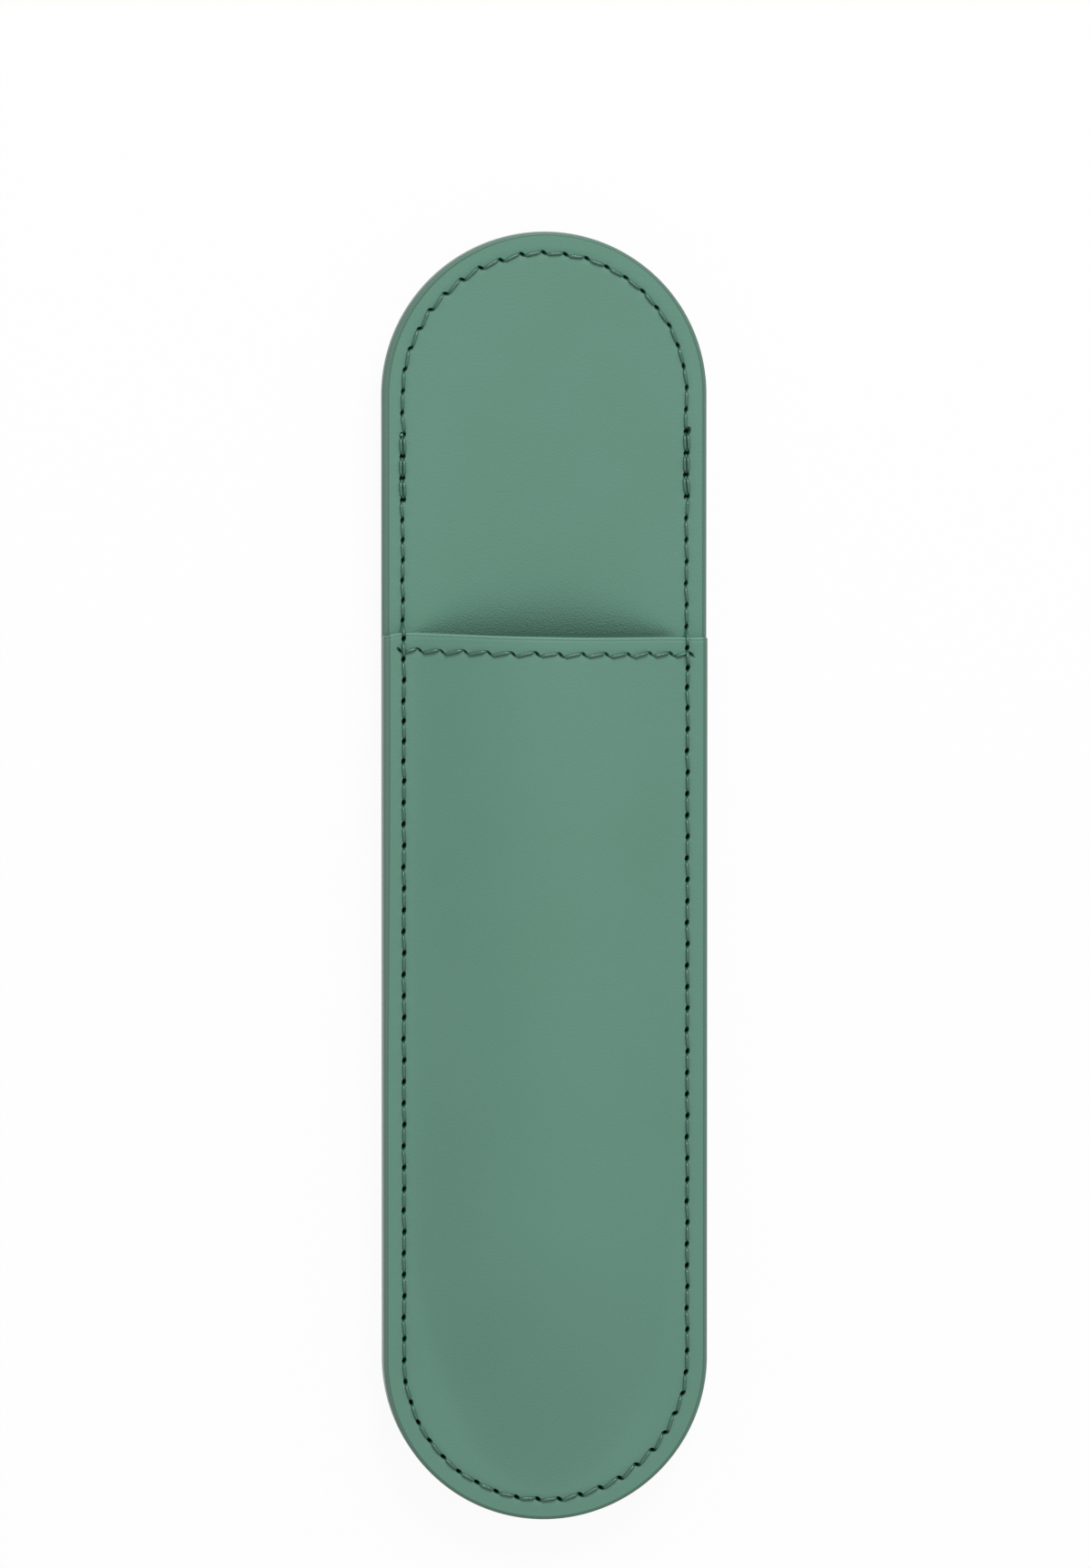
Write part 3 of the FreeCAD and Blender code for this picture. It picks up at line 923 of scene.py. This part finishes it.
def floor():
    """Pale floor that keeps the sleeve's shadow, and is not seen from below."""
    bm = bmesh.new()
    bmesh.ops.create_grid(bm, x_segments=1, y_segments=1, size=FLOOR_SIZE / 2)
    piece = finished("floor", bm)
    finish, shader = new_material("pale_floor")
    pale = (FLOOR_COLOUR, FLOOR_COLOUR, FLOOR_COLOUR, 1)
    finish.feed(shader, Base_Color=pale, Roughness=1.0, Specular_IOR_Level=0.0)
    share = finish.ranged(seen_directly(finish), 0, 1, 0, FLOOR_GLOW_SHARE)
    glow = finish.node("ShaderNodeEmission").outputs[0]
    lit = finish.mixed(share, shader.outputs[0], glow)
    underside = finish.node("ShaderNodeNewGeometry").outputs["Backfacing"]
    clear = finish.node("ShaderNodeBsdfTransparent").outputs[0]
    surface = finish.mixed(underside, lit, clear)
    finish.join(surface, finish.tree.nodes["Material Output"].inputs["Surface"])
    piece.data.materials.append(finish.owner)


def camera():
    """Long lens, a little to the left of the sleeve and towards its upper end."""
    data = bpy.data.cameras.new("camera")
    data.sensor_width = SENSOR
    data.lens = SENSOR * CAMERA_DISTANCE / PICTURE_HEIGHT
    back = Vector((-math.tan(VIEW_FROM_LEFT), math.tan(VIEW_FROM_TOP), 1)).normalized()
    right = Vector((0, 1, 0)).cross(back).normalized()
    eye = bpy.data.objects.new("camera", data)
    eye.matrix_world = frame_at(AIM + back * CAMERA_DISTANCE, right, back)
    bpy.context.scene.collection.objects.link(eye)
    bpy.context.scene.camera = eye


leather = leather_finish()
thread = thread_finish()
rod = thread_rod()

# Rows of holes on the face where each seam shows
lower_holes = edge_holes(-1, LOWER_START_LEFT, LOWER_START_RIGHT, FRONT_TOP_Z, TIGHT_BELOW_LIP)
upper_holes = edge_holes(1, UPPER_START_RIGHT, UPPER_START_LEFT, FRONT_Z, TACK_FIRST)
left_rise = upper_holes[-TACK_LAST - 1:]
right_rise = upper_holes[:TACK_LAST + 1]
upper_run = upper_holes[TACK_FIRST:len(upper_holes) - TACK_FIRST]
# The hole where the lower seam ends, at the top of the right tack, stands wider open
right_rise[-1] = right_rise[-1]._replace(scale=LAST_SLIT_SCALE)
lower_seam = beside(left_rise, 1) + pulled(lower_holes) + beside(right_rise, 1)
upper_seam = beside(upper_run, -1)
straight_row = mouth_holes()
mouth_row = pulled(straight_row)

# Leather, cut through by the needle slits
lower_cutter = slit_cutter(lower_seam, EDGE_SEWING)
upper_cutter = slit_cutter(upper_seam, EDGE_SEWING)
mouth_cutter = slit_cutter(mouth_row, MOUTH_SEWING)
edge_cutters = [lower_cutter, upper_cutter]
front_leather(lower_holes, straight_row, [lower_cutter, mouth_cutter], leather)
inner_seam = beside(left_rise + right_rise, 1) + upper_seam
inner = rear_leather("inner_leather", INNER_THICKNESS, 1, inner_seam, edge_cutters)
dress(inner, leather, "inner_panel", "inner_leather")
back_seam = far_side(lower_seam + upper_seam)
back = rear_leather("back_leather", BACK_THICKNESS, -1, back_seam, edge_cutters)
dress(back, leather, "back_panel", "outer_leather")
for cutter in (lower_cutter, upper_cutter, mouth_cutter):
    bpy.data.objects.remove(cutter)

# Thread, with a melted end at the top of the left tack
ends = lower_seam[:1]
stitches("lower_seam_front_thread", lower_seam, rod, EDGE_SEWING, outer_swell, thread, ends)
stitches("upper_seam_front_thread", upper_seam, rod, EDGE_SEWING, inner_swell, thread)
stitches("mouth_row_front_thread", mouth_row, rod, MOUTH_SEWING, flat, thread)
stitches("lower_seam_back_thread", far_side(lower_seam), rod, EDGE_SEWING, flat, thread)
stitches("upper_seam_back_thread", far_side(upper_seam), rod, EDGE_SEWING, flat, thread)
stitches("mouth_row_back_thread", far_side(mouth_row), rod, MOUTH_SEWING, flat, thread)

sky()
key_lamp()
floor()
camera()
bpy.context.scene.view_settings.view_transform = "Standard"
